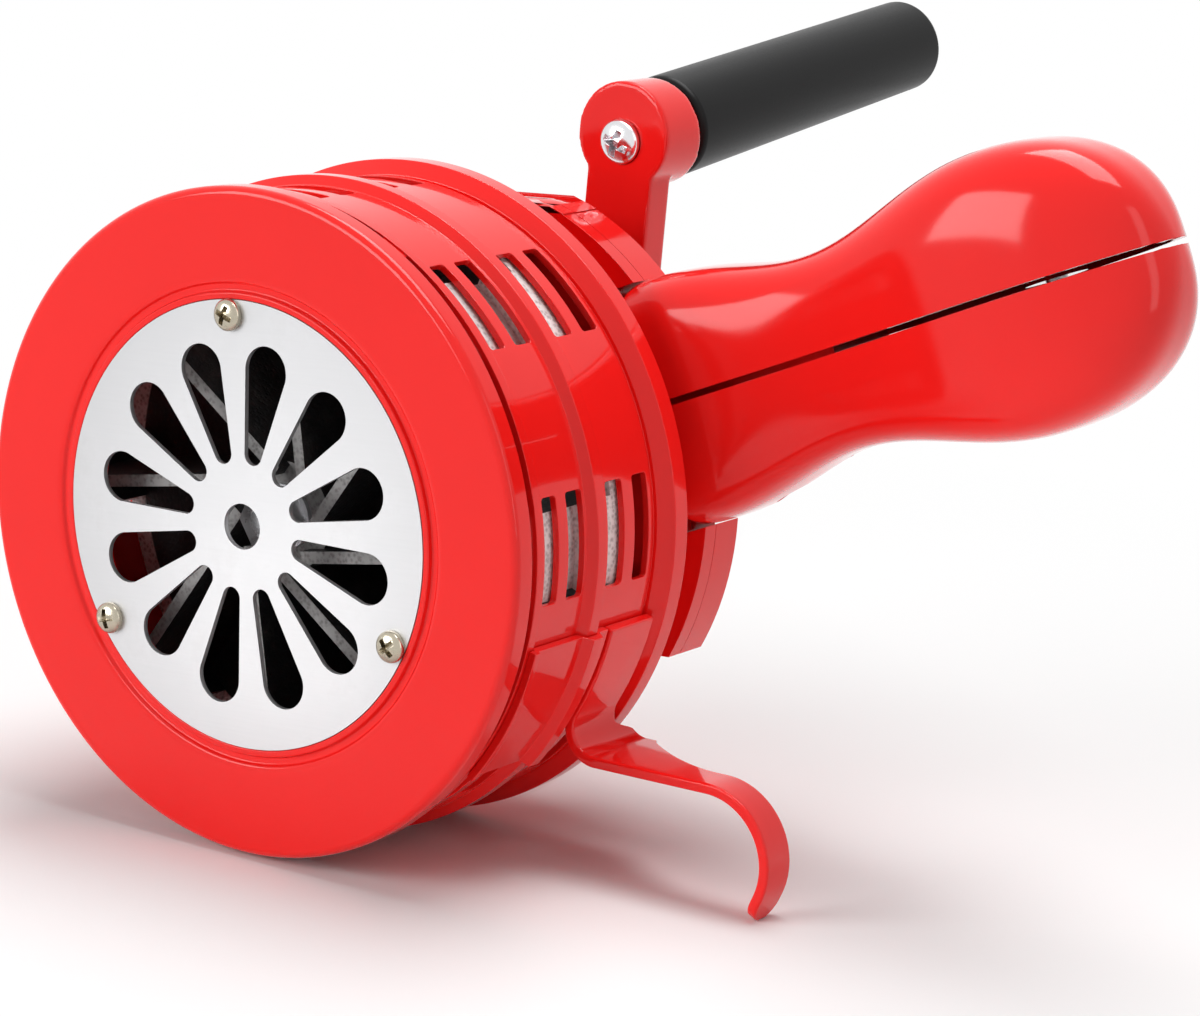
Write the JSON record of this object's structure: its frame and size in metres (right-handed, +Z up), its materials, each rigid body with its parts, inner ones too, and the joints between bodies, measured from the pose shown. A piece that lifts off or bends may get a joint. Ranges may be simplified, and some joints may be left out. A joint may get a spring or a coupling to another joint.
{
  "type": "hand crank siren",
  "caption": "Hand crank siren: a ported round drum with a grille, a gear housing behind it, a side grip, a crank with a black knob and a hooked foot.",
  "frame": {"origin": "centre of the front ring's flat face, on the siren's axis", "axes": "-Y is the way the grille and mouth face, +Y runs back along the rotor's axis, +X is to the right seen from the front, on the grip's side, and +Z is up"},
  "size_m": [0.2084, 0.1931, 0.1487],
  "materials": {
    "ring_paint": "gloss red enamel over a pressed aluminium ring",
    "drum_paint": "gloss red enamel over the drum",
    "foot_paint": "gloss red enamel over bent steel strip",
    "housing_paint": "gloss red enamel over die casting",
    "grip_paint": "gloss red enamel over thin die castings",
    "crank_paint": "gloss red enamel over a cast arm",
    "grille_metal": "satin silver sheet",
    "screw_zinc": "yellow zinc plate",
    "screw_bright": "bright plate",
    "screw_steel": "plain zinc plate",
    "rotor_cast": "bare sand-textured casting",
    "shaft_steel": "ground steel",
    "gear_steel": "cut steel with a grease film",
    "bridge_steel": "rolled steel plate",
    "bush_bronze": "sintered bronze",
    "knob_plastic": "satin black"
  },
  "bodies": {
    "frame": {"front_ring": "ring_paint", "grille": "grille_metal", "grille_screws": "screw_zinc", "stator_drum": "drum_paint", "foot_plate": "foot_paint", "foot_hook": "foot_paint", "gear_housing": "housing_paint", "gear_cover": "housing_paint", "cover_screws": "screw_steel", "housing_screws": "screw_steel", "bearing_bridge": "bridge_steel", "bridge_screws": "screw_steel", "rotor_bush_front": "bush_bronze", "rotor_bush_rear": "bush_bronze", "crank_bushes": "bush_bronze", "idler_pin": "shaft_steel", "grip_upper": "grip_paint", "grip_lower": "grip_paint", "grip_screws": "screw_steel"},
    "rotor": {"rotor": "rotor_cast", "rotor_shaft": "shaft_steel", "rotor_nut": "screw_steel", "rotor_washer": "screw_steel", "rotor_pinion": "gear_steel"},
    "idler": {"idler_gear": "gear_steel", "idler_pinion": "gear_steel"},
    "crank": {"crank_shaft": "shaft_steel", "crank_gear": "gear_steel", "crank_arm": "crank_paint", "crank_screw": "screw_bright", "crank_washer": "screw_steel", "thrust_washer": "bush_bronze", "knob_pin": "shaft_steel", "knob_screw": "screw_bright", "knob_washer": "screw_steel"},
    "knob": {"knob": "knob_plastic", "knob_cap": "knob_plastic"}
  },
  "joints": [
    {"name": "crank_turn", "type": "hinge", "parent": "frame", "child": "crank", "pos_m": [0.01287, 0.075, 0.00469], "axis": [0, 1, 0], "continuous": true},
    {"name": "idler_spin", "type": "hinge", "parent": "frame", "child": "idler", "pos_m": [-0.01498, 0.06, 0.01201], "axis": [0, 1, 0], "continuous": true},
    {"name": "rotor_spin", "type": "hinge", "parent": "frame", "child": "rotor", "pos_m": [0, 0.044, 0], "axis": [0, 1, 0], "continuous": true},
    {"name": "knob_spin", "type": "hinge", "parent": "crank", "child": "knob", "pos_m": [0.01947, 0.089, 0.06171], "axis": [0.014, 0.9925, 0.1211], "continuous": true}
  ],
  "couplings": [
    {"joint": "idler_spin", "follows": "crank_turn", "ratio": -5},
    {"joint": "rotor_spin", "follows": "crank_turn", "ratio": 15}
  ]
}
